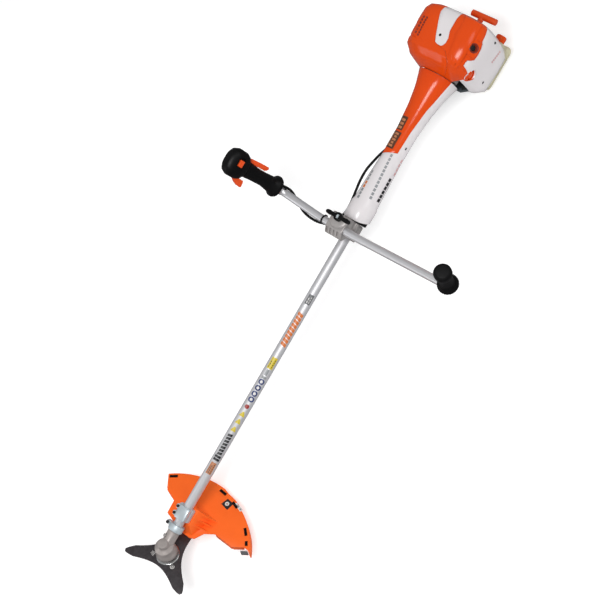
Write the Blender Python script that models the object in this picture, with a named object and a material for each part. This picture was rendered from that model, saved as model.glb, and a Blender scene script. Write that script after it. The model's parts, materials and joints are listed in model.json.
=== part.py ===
"""Brush cutter with a three-tooth blade: every piece is its own closed body.

World axes: +X forward towards the blade, +Y the user's left, +Z up, metres.
The helpers take millimetres in shaft coordinates: s runs back from the gear centre
along the drive tube, y is left and z is up from the tube's axis.
"""

import math

import bmesh
import bpy
from mathutils import Matrix, Vector

# Driving dimensions, in millimetres.
FOOT_S = 1590.0  # middle of the engine foot behind the gear centre
SHAFT_Z = 155.0  # tube axis above the floor
HEAD_ANGLE = 28.5  # blade axis leans back from vertical, degrees
TUBE_R = 14.0
TUBE_WALL = 1.6
BLADE_R = 127.5
GUARD_R = 238.0
GUARD_H = -8.0
SKIRT_H = -46.6
BAR_S = 1008.0
BAR_Z = 74.0
BAR_R = 11.0
KNOB_S = 1033.0
CRANK_S = 1556.0

for item in list(bpy.data.objects):
    bpy.data.objects.remove(item, do_unlink=True)
PARTS = bpy.data.collections.new("brush_cutter")
CUTTERS = bpy.data.collections.new("cutters")
bpy.context.scene.collection.children.link(PARTS)
bpy.context.scene.collection.children.link(CUTTERS)

COLOURS = {
    "orange": ((0.90, 0.095, 0.012, 1), 0.3, 0),
    "guard_orange": ((0.95, 0.16, 0.03, 1), 0.45, 0),
    "white": ((0.75, 0.72, 0.72, 1), 0.35, 0),
    "black": ((0.015, 0.015, 0.016, 1), 0.5, 0),
    "rubber": ((0.02, 0.02, 0.02, 1), 0.8, 0),
    "slate": ((0.06, 0.08, 0.09, 1), 0.5, 0),
    "tank": ((0.58, 0.55, 0.38, 1), 0.4, 0),
    "red": ((0.7, 0.05, 0.03, 1), 0.35, 0),
    "alloy": ((0.42, 0.38, 0.35, 1), 0.45, 0.9),
    "pale_alloy": ((0.58, 0.64, 0.68, 1), 0.4, 0.9),
    "steel": ((0.5, 0.5, 0.5, 1), 0.3, 1),
    "blade": ((0.065, 0.055, 0.06, 1), 0.45, 0.4),
    "polished": ((0.72, 0.72, 0.72, 1), 0.18, 1),
    "iron": ((0.2, 0.2, 0.2, 1), 0.5, 1),
}


def material(node_name, look):
    colour, roughness, metallic = COLOURS[look]
    made = bpy.data.materials.new(node_name)
    made.use_nodes = True
    shader = made.node_tree.nodes["Principled BSDF"]
    shader.inputs["Base Color"].default_value = colour
    shader.inputs["Roughness"].default_value = roughness
    shader.inputs["Metallic"].default_value = metallic
    return made


def world(s, y, z):
    """Shaft coordinates in millimetres to world metres."""
    return Vector(((FOOT_S - s) / 1000, y / 1000, (SHAFT_Z + z) / 1000))


LEAN = math.radians(HEAD_ANGLE)
GEAR = world(0, 0, 0)
BACK = Vector((-1, 0, 0))
LEFT = Vector((0, 1, 0))
UP = Vector((0, 0, 1))
SPINDLE = Vector((-math.sin(LEAN), 0, math.cos(LEAN)))
HEAD_REAR = Vector((-math.cos(LEAN), 0, -math.sin(LEAN)))
HANDLE_DIR = Vector((0, -78, 190)).normalized()
HANDLE_BASE = world(1019, -211, 90)


def axes(origin, direction, first):
    """A matrix whose Z is direction and whose X is first made square to it."""
    z = direction.normalized()
    x = (first - z * first.dot(z)).normalized()
    rot = Matrix((x, z.cross(x), z)).transposed().to_4x4()
    return Matrix.Translation(origin) @ rot


HEAD = axes(GEAR, SPINDLE, HEAD_REAR)  # x rear, z along the blade axis
GUARD = HEAD @ Matrix.Scale(-1, 4, LEFT)  # the same with y to the user's left
SHAFT = axes(GEAR, BACK, UP)  # z back along the tube, x up
HANDLE = axes(HANDLE_BASE, HANDLE_DIR, BACK)  # x back, z up the grip
SIDE = axes(GEAR, LEFT, UP)  # x up, y forward, for outlines seen from the side


def finish(name, bm, look, cutter=False):
    """Turns a bmesh into an object with its faces outward; look None makes a helper."""
    bm.normal_update()
    bmesh.ops.recalc_face_normals(bm, faces=bm.faces)
    mesh = bpy.data.meshes.new(name)
    bm.to_mesh(mesh)
    if bm.calc_volume(signed=True) < 0:
        mesh.flip_normals()
    bm.free()
    obj = bpy.data.objects.new(name, mesh)
    if cutter:
        obj.hide_render = True
        obj.display_type = "WIRE"
        CUTTERS.objects.link(obj)
    else:
        mesh.materials.append(material(name, look))
        PARTS.objects.link(obj)
    return obj


def loft(name, rings, look=None, closed_path=False):
    """Skins rings of points given in world metres, with a flat cap at each end."""
    bm = bmesh.new()
    made = [[bm.verts.new(p) for p in ring] for ring in rings]
    count = len(made[0])
    pairs = list(zip(made, made[1:]))
    if closed_path:
        pairs.append((made[-1], made[0]))
    for low, high in pairs:
        for i in range(count):
            j = (i + 1) % count
            bm.faces.new((low[i], low[j], high[j], high[i]))
    if not closed_path:
        bm.faces.new(made[0])
        bm.faces.new(made[-1])
    return finish(name, bm, look, look is None)


def lathe(name, frame, profile, look=None, steps=24, wave=None):
    """Turns a closed (radius, height) profile about the frame's Z.

    wave gives a factor on the radius for each step, for teeth and lobes.
    """
    bm = bmesh.new()
    rings = []
    for radius, height in profile:
        if radius == 0:
            rings.append([bm.verts.new(frame @ Vector((0, 0, height / 1000)))])
            continue
        ring = []
        for i in range(steps):
            turn = 2 * math.pi * i / steps
            r = radius / 1000 * (wave(i, radius) if wave else 1)
            point = Vector((r * math.cos(turn), r * math.sin(turn), height / 1000))
            ring.append(bm.verts.new(frame @ point))
        rings.append(ring)
    pairs = list(zip(rings, rings[1:]))
    if profile[0][0] and profile[-1][0]:
        pairs.append((rings[-1], rings[0]))
    for low, high in pairs:
        for i in range(steps):
            j = (i + 1) % steps
            corners = [low[i % len(low)], low[j % len(low)], high[j % len(high)], high[i % len(high)]]
            unique = list(dict.fromkeys(corners))
            if len(unique) > 2:
                bm.faces.new(unique)
    return finish(name, bm, look, look is None)


def ring_of(frame, inner, outer, low, high):
    return [(inner, low), (outer, low), (outer, high), (inner, high)]


def prism(name, frame, outline, low, high, look=None, bevel=0.0):
    """Extrudes a closed (x, y) outline along the frame's Z from low to high."""
    bm = bmesh.new()
    ends = []
    for height in (low, high):
        points = [frame @ Vector((x / 1000, y / 1000, height / 1000)) for x, y in outline]
        ends.append([bm.verts.new(p) for p in points])
    count = len(outline)
    for i in range(count):
        j = (i + 1) % count
        bm.faces.new((ends[0][i], ends[0][j], ends[1][j], ends[1][i]))
    caps = [bm.faces.new(ends[0]), bm.faces.new(ends[1])]
    bm.normal_update()
    bmesh.ops.recalc_face_normals(bm, faces=bm.faces)
    if bevel:
        edges = list({edge for cap in caps for edge in cap.edges})
        bmesh.ops.bevel(bm, geom=edges, offset=bevel / 1000, segments=2, profile=0.6, affect="EDGES")
    return finish(name, bm, look, look is None)


def block(name, s_range, y_range, z_range, look=None, round_mm=0.0, segments=1, frame=None):
    """A box between two corners, in shaft coordinates or in a frame, edges rounded."""
    bm = bmesh.new()
    bmesh.ops.create_cube(bm, size=1)
    spans = (s_range, y_range, z_range)
    for vert in bm.verts:
        a, b, c = (lo + (hi - lo) * (vert.co[k] + 0.5) for k, (lo, hi) in enumerate(spans))
        vert.co = frame @ Vector((a / 1000, b / 1000, c / 1000)) if frame else world(a, b, c)
    bm.normal_update()
    if round_mm:
        bmesh.ops.bevel(
            bm,
            geom=list(bm.edges),
            offset=round_mm / 1000,
            segments=segments,
            profile=0.5,
            affect="EDGES",
        )
    return finish(name, bm, look, look is None)


def side_prism(name, points, y_low, y_high, look=None, bevel=0.0):
    """Extrudes an (s, z) outline across the machine."""
    return prism(name, SIDE, [(z, -s) for s, z in points], y_low, y_high, look, bevel)


def between(table, s):
    """Reads a table of (s, value, ...) rows at a distance s."""
    for low, high in zip(table, table[1:]):
        if s <= high[0]:
            t = (s - low[0]) / (high[0] - low[0])
            return [a + (b - a) * t for a, b in zip(low[1:], high[1:])]
    return list(table[-1][1:])


def smooth_path(points, rounds):
    """A polyline whose inner corners are rounded, each by its own length."""
    path = [points[0]]
    for i in range(1, len(points) - 1):
        before, here, after = points[i - 1], points[i], points[i + 1]
        reach = rounds / 1000
        a = here + (before - here).normalized() * min(reach, (before - here).length * 0.45)
        b = here + (after - here).normalized() * min(reach, (after - here).length * 0.45)
        for k in range(4):
            t = k / 3
            path.append(a * (1 - t) ** 2 + here * 2 * t * (1 - t) + b * t * t)
    path.append(points[-1])
    return path


def path_frames(path):
    """A matrix at every point of a path, turned as little as possible along it."""
    frames = []
    side = Vector((0.3, 0.2, 1))
    for i, point in enumerate(path):
        ahead = path[min(i + 1, len(path) - 1)] - path[max(i - 1, 0)]
        frame = axes(point, ahead, side)
        side = frame.col[0].to_3d()
        frames.append(frame)
    return frames


def pipe(name, path, outer, look=None, inner=0.0, steps=16):
    """Sweeps a circle, or a hollow circle, along a path of world points."""
    frames = path_frames(path)

    def circle(frame, radius):
        turns = (2 * math.pi * i / steps for i in range(steps))
        return [frame @ Vector((radius / 1000 * math.cos(t), radius / 1000 * math.sin(t), 0)) for t in turns]

    rings = [circle(f, outer) for f in frames]
    if inner:
        rings += [circle(f, inner) for f in reversed(frames)]
    return loft(name, rings, look, closed_path=bool(inner))


def oval(station, angle, inset=0.0):
    """A point of a rounded section; station = (s, y, z, half width, half height, power).

    A seventh value is the power of the section's lower left quarter.
    """
    s, y, z, half_y, half_z, power, *lower = station
    turn = math.radians(angle)
    c, n = math.cos(turn), math.sin(turn)
    if lower and n < 0 < c:
        power = lower[0]
    a, b = half_y - inset, half_z - inset
    scale = (abs(c) ** power + abs(n) ** power) ** (-1 / power)
    return world(s, y + a * c * scale, z + b * n * scale)


def shell(name, stations, look, wall=2.5, arcs=14):
    """A curved cover: each station is (section, first angle, last angle)."""
    rings = []
    for section, first, last in stations:
        turns = [first + (last - first) * i / arcs for i in range(arcs + 1)]
        outer = [oval(section, t) for t in turns]
        inner = [oval(section, t, wall) for t in reversed(turns)]
        rings.append(outer + inner)
    return loft(name, rings, look)


def solid(name, stations, look=None, steps=24, frame=None):
    """A solid of rounded sections along s, or along a frame's Z."""
    rings = []
    for section in stations:
        ring = []
        for i in range(steps):
            angle = 360 * i / steps
            if frame:
                z, x0, y0, half_x, half_y, power = section
                turn = math.radians(angle)
                c, n = math.cos(turn), math.sin(turn)
                k = (abs(c) ** power + abs(n) ** power) ** (-1 / power)
                ring.append(
                    frame @ Vector(((x0 + half_x * c * k) / 1000, (y0 + half_y * n * k) / 1000, z / 1000))
                )
            else:
                ring.append(oval(section, angle))
        rings.append(ring)
    return loft(name, rings, look)


def boolean(obj, other, operation):
    change = obj.modifiers.new(operation.lower() + "_" + other.name, "BOOLEAN")
    change.operation = operation
    change.solver = "EXACT"
    change.object = other


def cut(obj, *cutters):
    for cutter in cutters:
        boolean(obj, cutter, "DIFFERENCE")


def fuse(obj, *pieces):
    for piece in pieces:
        boolean(obj, piece, "UNION")


def at(s, y, z, direction, first=UP):
    """A frame at a place in shaft coordinates whose Z is the given direction."""
    if abs(direction.normalized().dot(first)) > 0.95:
        first = BACK
    return axes(world(s, y, z), direction, first)


def cap_screw(name, s, y, z, direction, radius, head, length, look="black", stem=None):
    """A socket screw; the place is the underside of its head, direction points out."""
    stem = stem or radius * 0.55
    well = radius * 0.5
    profile = [(0, -length), (stem, -length), (stem, 0), (radius, 0), (radius, head)]
    profile += [(well, head), (well, head * 0.45), (0, head * 0.45)]
    return lathe(name, at(s, y, z, direction), profile, look, steps=12)


# ---------------------------------------------------------------- cutting head
def build_head():
    teeth = lambda count, depth: (lambda i, r: 1 - depth * (i % 2) if r > 7 else 1)

    def tooth_outline():
        points = []
        for tooth in range(3):
            base = math.radians(60 + 120 * tooth)
            start = Vector((97, 17))
            middle = Vector((46, 21))
            end = Vector((21, 36.4))
            curve = []
            for k in range(7):
                t = k / 6
                curve.append(start * (1 - t) ** 2 + middle * 2 * t * (1 - t) + end * t * t)
            side = [Vector((BLADE_R, 4)), Vector((120, 9)), Vector((101, 16.5))] + curve
            local = [Vector((p.x, -p.y)) for p in reversed(side[:-1])] + side
            for p in local:
                x = p.x * math.cos(base) - p.y * math.sin(base)
                y = p.x * math.sin(base) + p.y * math.cos(base)
                points.append((-x, y))
        return points

    blade = prism("blade", HEAD, tooth_outline(), -46.2, -43.8, "blade")
    bores = [lathe("blade_bore", HEAD, [(0, -60), (10.3, -60), (10.3, -30), (0, -30)], steps=32)]
    cut(blade, *bores)
    flange = [(6.3, -30.5), (14, -30.5), (15, -38), (33, -40), (34, -41), (34, -43.5)]
    flange += [(10, -43.5), (10, -46), (6.3, -46)]
    lathe("thrust_flange", HEAD, flange, "steel", steps=26)
    rider = [(6.3, -46.5), (30, -46.5), (29, -48.5), (16, -50.5), (6.3, -50.5)]
    lathe("rider_plate", HEAD, rider, "steel", steps=24)
    nut = [(7.1, -50.8), (11, -50.8), (11, -58), (9.8, -59.5), (7.1, -59.5)]
    lathe("blade_nut", HEAD, nut, "steel", steps=6)
    spindle = [(0, 7.5), (4, 7.5), (4, -13), (6, -13.5), (6, -60.5), (5, -62), (0, -62)]
    lathe("output_shaft", HEAD, spindle, "iron", steps=20)
    driven = [(4.3, -5.5), (12, -5.8), (18, -7.2), (18, -9.5), (10, -12.9), (4.3, -12.9)]
    lathe("driven_bevel_gear", HEAD, driven, "iron", steps=38, wave=teeth(19, 0.08))
    pinion = [(4.3, 10), (7.6, 10), (10.6, 13.8), (9, 16), (6.3, 17), (6.3, 22), (4.3, 22)]
    lathe("drive_bevel_gear", SHAFT, pinion, "iron", steps=28, wave=teeth(14, 0.1))

    body = [(0, 28), (13, 28), (15.5, 25.5), (16, 15), (20, 11), (27, 7), (28, 3), (28, -14)]
    body += [(31, -20), (31, -28), (0, -28)]
    housing = lathe("gear_case", HEAD, body, "alloy", steps=22)
    neck = [(0, 4), (17.6, 4), (17.6, 52), (21.5, 56), (22, 60), (22, 74), (0, 74)]
    fuse(housing, lathe("gear_case_neck", SHAFT, neck, steps=20))
    lug = block("gear_case_lug", (60.7, 73.2), (-34, -17), (-8, 8), round_mm=1.5)
    fuse(housing, lug)
    bore = [(0, -3), (12.9, -3), (12.9, 22.5), (7, 22.5), (7, 30), (14.35, 30), (14.35, 80), (0, 80)]
    cut(housing, block("gear_case_slit", (62.3, 82), (-42, -9.5), (-1.2, 1.2)))
    clear = [(0, -40), (21, -40), (21, 0), (11.4, 0), (11.4, 8), (0, 8)]
    cut(housing, lathe("gear_case_clear", HEAD, clear, steps=18))
    cut(housing, lathe("gear_case_bore", SHAFT, bore, steps=24))
    screw_way = [(0, 0), (2.6, 0), (2.6, 40), (0, 40)]
    cut(housing, lathe("gear_case_clamp_hole", at(66.5, -27.5, -20, UP), screw_way, steps=12))
    plug_at = axes(world(33, 0, 0), Vector((0, -0.6, 0.8)), BACK)
    cut(housing, lathe("gear_case_plug_hole", plug_at, [(0, 13.5), (3.5, 13.5), (3.5, 40), (0, 40)], steps=12))
    plug = [(0, 14.4), (3.2, 14.4), (3.2, 18.2), (5, 18.2), (5.4, 20.5), (4.4, 22), (0, 22)]
    lathe("grease_plug", plug_at, plug, "alloy", steps=12)
    cap_screw("tube_clamp_screw", 66.5, -27.5, 8.3, UP, 4.6, 5, 15, stem=2.3)


# ------------------------------------------------------------------------ guard
def build_guard():
    plane = [(138, 176), (118, 146), (118, 82), (100, 56), (72, 44), (66, 30)]
    plane += [(66, -30), (76, -42), (84, -70), (126, -82), (141, -130)]

    def rim(first, last, grow, steps=24):
        """Points along the rim, which steps in at two places."""
        table = [(-43, 238), (5, 239.5), (6, 236), (21, 239.5), (22, 236), (44, 238.5), (56, 238.5)]
        turns = [first + (last - first) * k / steps for k in range(steps + 1)]
        reach = [(between(table, t)[0] + grow, math.radians(t)) for t in turns]
        return [(r * math.cos(t), r * math.sin(t)) for r, t in reach]

    guard = prism("guard", GUARD, rim(-42, 55, 0) + plane, GUARD_H - 3, GUARD_H, "guard_orange")
    skirt = rim(-42.1, 55.1, 0.5) + list(reversed(rim(-42.1, 55.1, -3)))
    fuse(guard, prism("guard_skirt", GUARD, skirt, SKIRT_H, GUARD_H - 1))

    def rib(name, a, b, width, low, high):
        run = Vector((b[0] - a[0], b[1] - a[1])).normalized()
        side = Vector((-run.y, run.x)) * width / 2
        outline = [(a[0] + side.x, a[1] + side.y), (b[0] + side.x, b[1] + side.y)]
        outline += [(b[0] - side.x, b[1] - side.y), (a[0] - side.x, a[1] - side.y)]
        return prism(name, GUARD, outline, low, high)

    for k, angle in enumerate((-20, 8, 30)):
        turn = math.radians(angle)
        a = (150 * math.cos(turn), 150 * math.sin(turn))
        b = ((GUARD_R - 5) * math.cos(turn), (GUARD_R - 5) * math.sin(turn))
        fuse(guard, rib(f"guard_rib_{k}", a, b, 2.5, -24, GUARD_H - 1))
    edge = [((140, -127), (126.8, -84)), ((125, -84.5), (86, -73)), ((120, 84), (120, 144))]
    edge.append(((121, 146), (139, 172)))
    for k, (a, b) in enumerate(edge):
        fuse(guard, rib(f"guard_edge_{k}", a, b, 4, -26, GUARD_H - 1))
    for k, angle in enumerate((-38, 3, 17, 40, 49)):
        turn = math.radians(angle)
        at_rim = Vector(((GUARD_R - 9.5) * math.cos(turn), (GUARD_R - 9.5) * math.sin(turn)))
        run = Vector((-math.sin(turn), math.cos(turn)))
        half = 7 if k == 4 else 12
        a, b = at_rim - run * half, at_rim + run * half
        cut(guard, rib(f"guard_slot_{k}", (a.x, a.y), (b.x, b.y), 8, GUARD_H - 6, GUARD_H + 6))

    # A hollow mound carries the tube clamp, with three gussets on its left.
    def mound(name, top_z, top, base_h, base):
        foot = [GUARD @ Vector((x / 1000, y / 1000, base_h / 1000)) for x, y in base]
        return loft(name, [foot, [world(s, y, top_z) for s, y in top]])

    top = [(86, -31), (86, 24), (134, 24), (134, -31)]
    fuse(guard, mound("guard_mound", -18.4, top, -9.5, [(74, -35), (74, 33), (148, 46), (148, -35)]))
    for k, s in enumerate((93, 110, 127)):
        plate_z = -9.4 - 0.5427 * (s + 4.53)
        gusset = [(-23, 23), (plate_z, 30), (plate_z, 68)]
        fuse(guard, prism(f"guard_gusset_{k}", SHAFT, gusset, s - 1.5, s + 1.5))
    room = [(90, -27), (90, 20), (130, 20), (130, -27)]
    cut(guard, mound("guard_mound_room", -22, room, -14, [(80, -30), (80, 28), (142, 40), (142, -30)]))

    # Cast clamp: the saddle stands on the mound and holds the tube from below.
    tube_bore = [(0, 40), (14.3, 40), (14.3, 160), (0, 160)]
    saddle = block("guard_saddle", (90, 131), (-30, 19), (-18, -0.6), "pale_alloy", 3)
    clamp = block("guard_clamp", (90, 131), (-17.6, 18.4), (0.6, 18.6), "pale_alloy", 4.5, 2)
    for k, s in enumerate((100, 121)):
        fuse(clamp, lathe(f"guard_clamp_ear_{k}", at(s, -22.2, 0, UP), [(0, 0.6), (7.6, 0.6), (7, 13), (0, 13)], steps=14))
    for piece in (saddle, clamp):
        cut(piece, lathe(piece.name + "_bore", SHAFT, tube_bore, steps=24))
    for k, (s, y) in enumerate(((100, -22.2), (121, -22.2))):
        hole = lathe(f"guard_screw_hole_{k}", at(s, y, -40, UP), [(0, 0), (2.4, 0), (2.4, 80), (0, 80)], steps=12)
        cut(guard, hole)
        cut(clamp, hole)
        cut(saddle, hole)
        cap_screw(f"guard_screw_{k}", s, y, 13.3, UP, 4.2, 4.5, 38, "black", stem=2.1)
    turn = math.radians(54)
    knife = GUARD @ Matrix.Rotation(turn, 4, "Z")
    outline = [(GUARD_R - 27, -1), (GUARD_R - 6, -1), (GUARD_R - 6, 1.2), (GUARD_R - 27, 1.2)]
    prism("line_knife", knife, outline, -38, -13, "steel")


# ------------------------------------------------------------------- drive tube
def build_tube():
    lathe("drive_tube", SHAFT, ring_of(SHAFT, TUBE_R - TUBE_WALL, TUBE_R, 31, 1452), "polished", steps=32)
    lathe("drive_shaft", SHAFT, [(0, 9.5), (4, 9.5), (4, 1462), (0, 1462)], "steel", steps=12)
    for k, s in enumerate((320, 1100)):
        profile = ring_of(SHAFT, 4.3, 12.1, s - 12, s + 12)
        lathe(f"shaft_bush_{k}", SHAFT, profile, "rubber", steps=16)


# -------------------------------------------------------------------- handlebar
def build_handlebar():
    tube_bore = [(0, 950), (14.3, 950), (14.3, 1080), (0, 1080)]
    bar_bore = [(0, -60), (11.3, -60), (11.3, 60), (0, 60)]
    bar_frame = at(BAR_S, 0, BAR_Z, LEFT)
    front = [(995, 42), (981, 58), (981, 73.5), (1044, 73.5), (1044, 0.5), (995, 0.5)]
    base = side_prism("clamp_base", front, -26, 26, "alloy", 3)
    cut(base, block("clamp_base_waist_l", (1022, 1058), (17, 40), (22, 52), round_mm=3))
    cut(base, block("clamp_base_waist_r", (1022, 1058), (-40, -17), (22, 52), round_mm=3))
    cut(base, block("clamp_base_foot_l", (960, 1060), (23, 40), (-20, 20)))
    cut(base, block("clamp_base_foot_r", (960, 1060), (-40, -23), (-20, 20)))
    crown = [(981, 74.5), (999, 88.9), (1038, 88.9), (1044, 84), (1044, 74.5)]
    cap = side_prism("clamp_cap", crown, -27, 29, "alloy", 3)
    slope = axes(world(990, 0, 81.7), Vector((0.625, 0, 0.781)), LEFT)
    for k, y in enumerate((-20, -8, 4, 16)):
        cut(cap, block(f"clamp_pocket_{k}", (y - 3.2, y + 3.2), (-9, 9), (-3.6, 6), frame=slope))
    groove = lathe("clamp_cap_groove", at(KNOB_S, 0, 0, UP), [(27.5, 87.2), (30.5, 87.2), (30.5, 95), (27.5, 95)], steps=28)
    cut(cap, groove)
    for piece in (base, cap):
        cut(piece, lathe(piece.name + "_bar_bore", bar_frame, bar_bore, steps=24))
    stem_hole = [(0, 20), (4.4, 20), (4.4, 100), (0, 100)]
    for piece in (base, cap):
        cut(piece, lathe(piece.name + "_stem_hole", at(KNOB_S, 0, 0, UP), stem_hole, steps=12))
    lower = block("clamp_lower", (995, 1044), (-23, 23), (-22, -0.5), "alloy", 4)
    for piece in (base, lower):
        cut(piece, lathe(piece.name + "_tube_bore", SHAFT, tube_bore, steps=24))
    for k, (s, y) in enumerate(((1015, -18.2), (1015, 18.2))):
        hole = lathe(f"clamp_screw_hole_{k}", at(s, y, -30, UP), [(0, 0), (2.6, 0), (2.6, 45), (0, 45)], steps=12)
        cut(base, hole)
        cut(lower, hole)
        cap_screw(f"clamp_screw_{k}", s, y, -22.2, -UP, 4.4, 4, 34, "steel", stem=2.3)

    # Wing knob: a hub with two wings, its stem in the clamp.
    top = BAR_Z + 15.3
    knob = at(KNOB_S, 0, top, UP, BACK)
    hub = [(0, -46), (4, -46), (4, 0), (12, 0), (12.5, 4), (12, 13), (6.2, 14), (6, 11), (0, 11)]
    wing_knob = lathe("wing_knob", knob, hub, "black", steps=20)
    wing = [(-4, 0), (4, 0), (5, 12), (6.5, 30), (5, 38), (0, 41), (-5, 38), (-6.5, 30), (-5, 12)]
    for k, sign in enumerate((1, -1)):
        outline = [(x, y * sign) for x, y in wing]
        fuse(wing_knob, prism(f"wing_{k}", knob, outline, 3 + k * 0.05, 13.2 + k * 0.05, bevel=2))

    # The bent bar: long straight left arm, short right arm, both ends turned up.
    left_base = world(1020, 373, 92)
    left_top = world(1037, 391, 208)
    points = [
        HANDLE_BASE + HANDLE_DIR * 0.150,
        HANDLE_BASE - HANDLE_DIR * 0.017,
        world(BAR_S, -60, BAR_Z),
        world(BAR_S, 60, BAR_Z),
        left_base - (left_top - left_base).normalized() * 0.018,
        left_top,
    ]
    pipe("handlebar", smooth_path(points, 22), BAR_R, "polished", BAR_R - 1.8, 16)

    grip_dir = (left_top - left_base).normalized()
    grip = axes(left_base, grip_dir, BACK)
    length = (left_top - left_base).length * 1000
    rings = [(11.4, 6), (27, 6), (29, 10), (28, 15), (20, 23), (17.5, 40), (18.5, 60)]
    rings += [(18.5, length - 34), (22, length - 26), (24, length - 14), (24, length - 4), (22, length + 3)]
    rings += [(16, length + 7)]
    rings += [(0, length + 7), (0, length + 1), (11.4, length + 1)]
    lathe("left_grip", grip, rings, "rubber", 24, lambda i, r: 1 + 0.02 * (i % 2) * (16 < r < 19.5))


# --------------------------------------------------------------- control handle
def build_controls():
    sections = [
        (7, 1, 0, 28, 26, 2.2),
        (13, 1, 0, 31, 28, 2.2),
        (18, 1, 0, 30.5, 27, 2.2),
        (29, 0, 0, 23, 19.5, 2.2),
        (60, 1, 0, 19.5, 17.5, 2.3),
        (96, 0, 0, 20.5, 18, 2.3),
        (124, 0, 0, 23, 18.5, 2.4),
        (131.6, 0, 0, 24, 19, 2.5),
    ]
    grip = solid("control_grip", sections, "black", 24, HANDLE)
    cut(grip, lathe("control_grip_bore", HANDLE, [(0, -10), (11.4, -10), (11.4, 150), (0, 150)], steps=20))
    cable_way = [(0, -10), (4.8, -10), (4.8, 21), (0, 21)]
    cable_at = HANDLE @ Matrix.Translation((0.0135, -0.0115, 0))
    cut(grip, lathe("control_grip_cable_way", cable_at, cable_way, steps=12))
    cut(grip, block("grip_lever_slot", (13, 40), (-5.6, 5.6), (58, 150), frame=HANDLE))
    head_sections = [
        (132, 0, 0, 25, 19, 2.6),
        (139, 0, 0, 34, 22, 3),
        (151, 0, 0, 39.5, 23.5, 3.2),
        (174, 0, 0, 40, 24, 3.2),
        (188, 0, 0, 34, 21, 3),
        (196, 0, 0, 24, 14, 2.6),
    ]
    head = solid("control_head", head_sections, "black", 24, HANDLE)
    cut(head, lathe("control_head_bore", HANDLE, [(0, 120), (11.4, 120), (11.4, 152), (0, 152)], steps=20))
    cut(head, block("head_trigger_slot", (-60, -14), (-6.8, 6.8), (120, 170), frame=HANDLE))
    cut(head, block("head_lever_slot", (14, 60), (-5.6, 5.6), (120, 150), frame=HANDLE))
    cut(head, block("head_switch_slot", (-6, 22), (-30, -18), (154.5, 173.5), frame=HANDLE))

    # Throttle trigger: a triangular finger piece that turns on a pin at its top.
    trigger = [(-17, 163), (-22, 165.5), (-28, 162), (-38, 152), (-46, 140), (-50, 128), (-51, 117)]
    trigger += [(-48, 114.5), (-35, 116), (-31, 119), (-31, 134), (-26, 146), (-18, 156)]
    side_frame = HANDLE @ Matrix.Rotation(math.radians(90), 4, "X")
    prism("throttle_trigger", side_frame, trigger, -5.8, 5.8, "red", 1)
    # Lock-out lever along the palm side of the grip, hinged at its upper end.
    lever = [(22, 73), (26, 66), (32, 63), (36, 66), (35, 92), (33, 118), (31, 136), (25, 143.5)]
    lever += [(18, 139), (20, 118)]
    prism("lockout_lever", side_frame, lever, -4.9, 4.9, "red", 1)
    switch = [(-4.5, 157), (14, 157), (14, 171), (-4.5, 171)]
    prism("stop_switch", side_frame, switch, 19, 26.5, "red", 1)


def cable_path():
    points = [
        HANDLE @ Vector((0.0135, -0.0115, 0.017)),
        HANDLE @ Vector((0.0135, -0.0115, -0.008)),
        HANDLE @ Vector((0.0150, -0.008, -0.036)),
        world(1016, -158, 53),
        world(1000, -128, 57),
        world(994, -98, 59),
        world(994, -66, 57),
        world(1004, -44, 44),
        world(1024, -43, 18),
        world(1050, -44, -6),
        world(1080, -43.5, -8),
        world(1112, -43.5, 2),
        world(1150, -43.5, 14),
        world(1184, -40.5, 21),
        world(1214, -35, 19),
        world(1240, -29, 17),
        world(1268, -19, 14),
        world(1310, -8, 18),
        world(1400, -6, 20),
    ]
    return smooth_path(points, 30)


# ------------------------------------------------------------------------- neck
def build_neck():
    path = cable_path()
    pipe("throttle_cable", path, 4, "rubber", steps=8)
    stations = [
        (1046.5, 0, 0, 37, 37, 2.1),
        (1050, 0, 0, 38.5, 38.5, 2.1),
        (1099, 0, 0, 38, 38, 2.1),
        (1105, 0, 0, 35.5, 35.5, 2.1),
        (1180, 0, 0, 33, 33, 2.1),
        (1237, 0, 0, 30.7, 30.7, 2),
        (1265, 0, 0, 30.7, 30.7, 2),
        (1330, 0, 0, 31, 31, 2),
        (1400, 0, 0, 37, 37, 2.1),
        (1440, 0, 0, 43, 43, 2.2),
        (1460, 0, 0, 47, 47, 2.3),
        (1497.5, 0, 0, 57, 57, 2.5),
    ]
    turns = [360 * i / 24 for i in range(24)]
    rings = [[oval(s, t) for t in turns] for s in stations]
    rings += [[oval(s, t, 2.5) for t in turns] for s in reversed(stations)]
    lower = loft("neck_lower", rings, "white", closed_path=True)

    cut(lower, side_prism("neck_front", [(1020, -60), (1074.4, -60), (1039.5, 60), (1020, 60)], -60, 60))

    # The orange cover takes the top of the neck; its front edge runs aslant.
    edge = [(1238, 52), (1265, 49), (1330, 45), (1400, 36), (1440, 27.5), (1460, 26), (1520, 24)]
    upper = [(section, between(edge, section[0])[0], 174) for section in stations if section[0] >= 1237]
    cover = shell("neck_upper", upper, "orange", arcs=10)
    wide = []
    for (s, y, z, a, b, power), first, last in upper + [((1502, 0, 0, 58, 58, 2.5), 24.5, 174)]:
        wide.append(((s, y, z, a + 3, b + 3, power), first - 0.6, last + 0.6))
    window = shell("neck_window", wide, None, wall=9, arcs=10)
    level = axes(GEAR, UP, BACK)
    for piece, early in ((cover, 0), (window, 0.5)):
        slant = [(1220, -60), (1279 - early, -60), (1231 - early, 60), (1220, 60)]
        cut(piece, prism(piece.name + "_front", level, slant, -20, 60))
    cable_way = pipe("cable_way", path[-18:-1], 4.7, steps=12)
    cut(cover, cable_way)
    cut(lower, window, cable_way)
    sleeve = [(14.3, 1045.5), (32, 1045.5), (34, 1048), (34, 1064), (30, 1066), (30, 1084), (14.3, 1084)]
    lathe("neck_sleeve", SHAFT, sleeve, "rubber", steps=24)


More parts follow.
